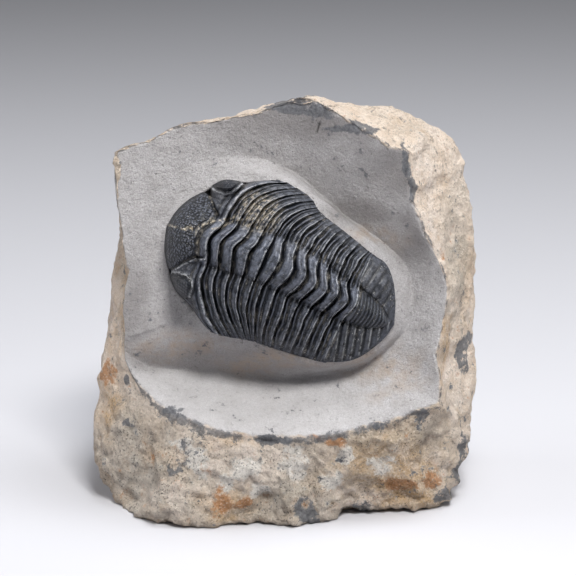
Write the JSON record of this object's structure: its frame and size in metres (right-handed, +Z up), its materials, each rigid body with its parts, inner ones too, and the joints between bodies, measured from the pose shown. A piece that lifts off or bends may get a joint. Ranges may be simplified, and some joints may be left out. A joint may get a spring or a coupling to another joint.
{
  "type": "phacopid trilobite fossil on a limestone block",
  "caption": "Arched black trilobite fossil with a granulated head, compound eyes, ribbed body and tail, left standing proud in a hollow cut into a rough block of limestone.",
  "frame": {"origin": "on the surface that the block stands on, under the middle of its bounding box", "axes": "+Z up out of the flat base; the prepared face with the animal looks towards -Y and leans back 14.5 degrees; +X is to the right seen from the front, the animal's tail end"},
  "size_m": [0.0826, 0.0624, 0.0863],
  "materials": {
    "limestone": "matte, fine-grained grey limestone where prepared, tan and ochre weathered rind elsewhere",
    "fossil_shell": "semi-gloss blue-black mineralised shell"
  },
  "bodies": {
    "root": {"matrix_stone": "limestone", "cephalon": "fossil_shell", "thoracic_segment_01": "fossil_shell", "thoracic_segment_02": "fossil_shell", "thoracic_segment_03": "fossil_shell", "thoracic_segment_04": "fossil_shell", "thoracic_segment_05": "fossil_shell", "thoracic_segment_06": "fossil_shell", "thoracic_segment_07": "fossil_shell", "thoracic_segment_08": "fossil_shell", "thoracic_segment_09": "fossil_shell", "thoracic_segment_10": "fossil_shell", "thoracic_segment_11": "fossil_shell", "pygidium": "fossil_shell"}
  },
  "joints": []
}
